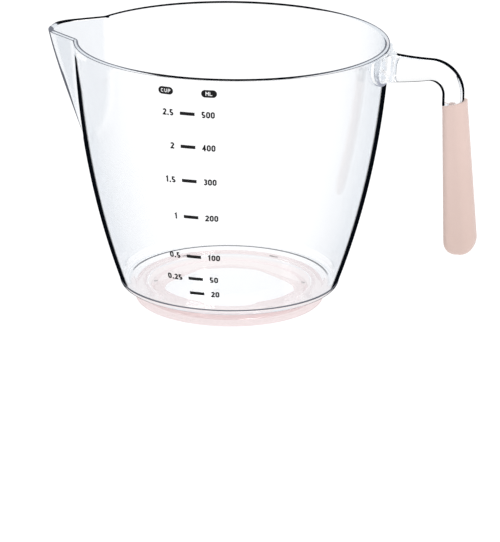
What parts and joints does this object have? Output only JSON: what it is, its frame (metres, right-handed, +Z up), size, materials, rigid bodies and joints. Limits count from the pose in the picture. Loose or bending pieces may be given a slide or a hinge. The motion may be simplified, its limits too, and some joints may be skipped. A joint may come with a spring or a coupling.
{
  "type": "measuring jug",
  "caption": "Small clear round measuring jug with a pouring spout, a hooked handle in a soft pink grip, a soft pink base ring and a printed black scale of fill marks.",
  "frame": {"origin": "on the bowl's round axis, in the plane of the base ring's underside that the jug stands on", "axes": "+Z up along the bowl's axis, -X towards the pouring lip, +X towards the handle, -Y towards the printed scale"},
  "size_m": [0.1541, 0.11, 0.0945],
  "materials": {
    "clear_plastic": "clear, colourless, polished",
    "soft_pink": "satin, faintly translucent pale pink",
    "black_ink": "printed ink, slight sheen"
  },
  "bodies": {
    "root": {"jug_body": "clear_plastic", "handle_arm": "clear_plastic", "grip_sleeve": "soft_pink", "base_ring": "soft_pink", "scale_bars": "black_ink", "millilitre_numbers": "black_ink", "cup_numbers": "black_ink", "unit_badges": "black_ink"}
  },
  "joints": []
}
